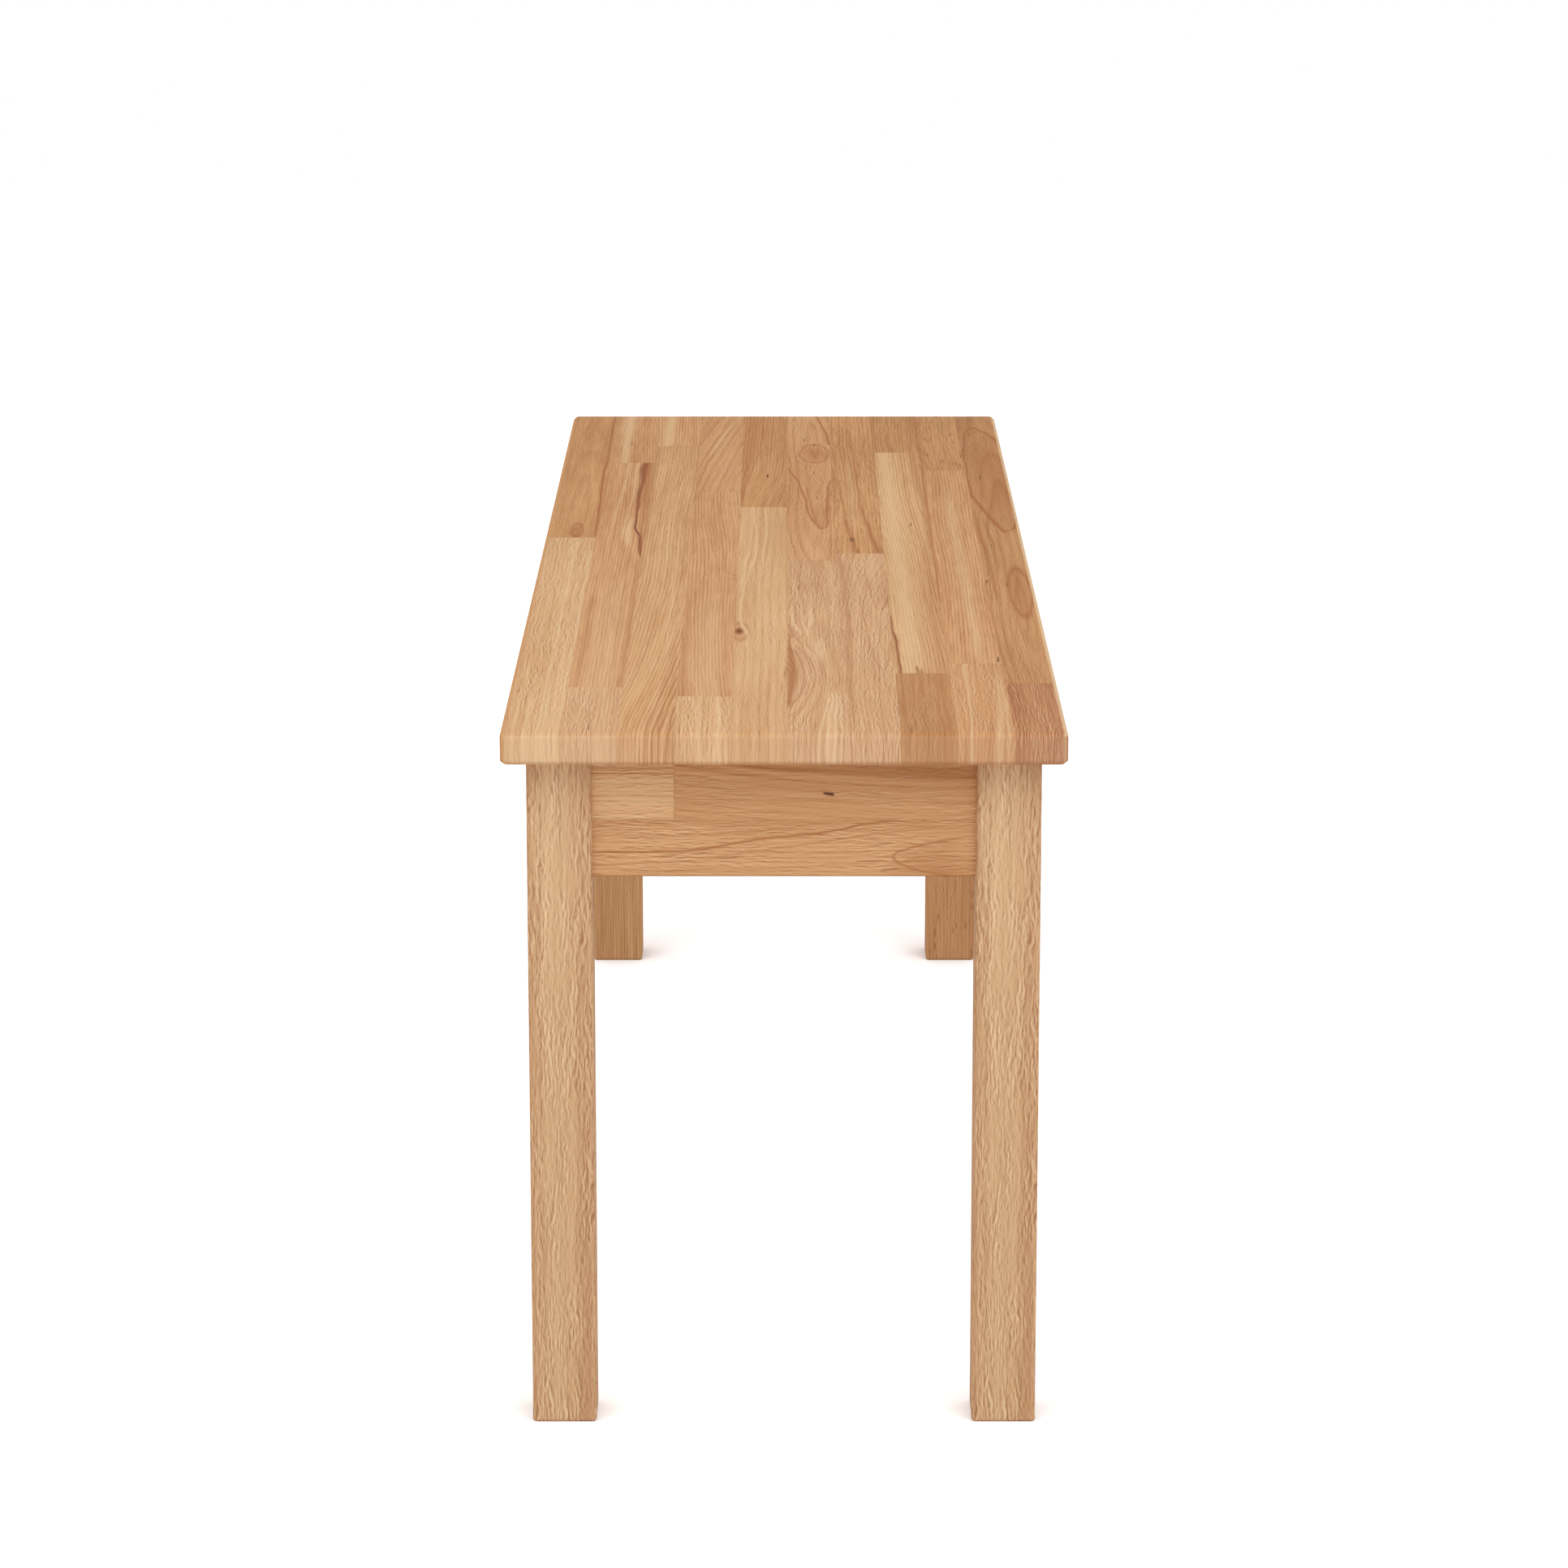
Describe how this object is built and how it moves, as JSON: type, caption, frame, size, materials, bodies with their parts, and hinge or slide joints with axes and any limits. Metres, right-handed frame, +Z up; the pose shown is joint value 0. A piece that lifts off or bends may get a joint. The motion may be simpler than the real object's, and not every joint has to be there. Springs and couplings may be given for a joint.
{
  "type": "bench",
  "caption": "Plain backless bench of oiled solid wood: staved seat on four square legs, joined by rails with mitred tenons.",
  "frame": {"origin": "on the floor under the middle of the seat", "axes": "+Z up, +Y along the bench from its front end to its rear end, +X across the seat to the right"},
  "size_m": [0.347, 1.2, 0.45],
  "materials": {
    "seat_beech": "oiled",
    "leg_beech": "oiled",
    "rail_beech": "oiled",
    "block_beech": "planed",
    "screw_steel": "zinc plated"
  },
  "bodies": {
    "root": {"block_screws": "screw_steel", "button_screws": "screw_steel", "corner_block_front_left": "block_beech", "corner_block_front_right": "block_beech", "corner_block_rear_left": "block_beech", "corner_block_rear_right": "block_beech", "end_rail_front": "rail_beech", "end_rail_rear": "rail_beech", "leg_front_left": "leg_beech", "leg_front_right": "leg_beech", "leg_rear_left": "leg_beech", "leg_rear_right": "leg_beech", "seat_button_01": "block_beech", "seat_button_02": "block_beech", "seat_button_03": "block_beech", "seat_button_04": "block_beech", "seat_button_05": "block_beech", "seat_button_06": "block_beech", "seat_button_07": "block_beech", "seat_button_08": "block_beech", "seat_button_09": "block_beech", "seat_button_10": "block_beech", "seat_stave_01": "seat_beech", "seat_stave_02": "seat_beech", "seat_stave_03": "seat_beech", "seat_stave_04": "seat_beech", "seat_stave_05": "seat_beech", "seat_stave_06": "seat_beech", "seat_stave_07": "seat_beech", "seat_stave_08": "seat_beech", "seat_stave_09": "seat_beech", "seat_stave_10": "seat_beech", "side_rail_left": "rail_beech", "side_rail_right": "rail_beech"}
  },
  "joints": []
}
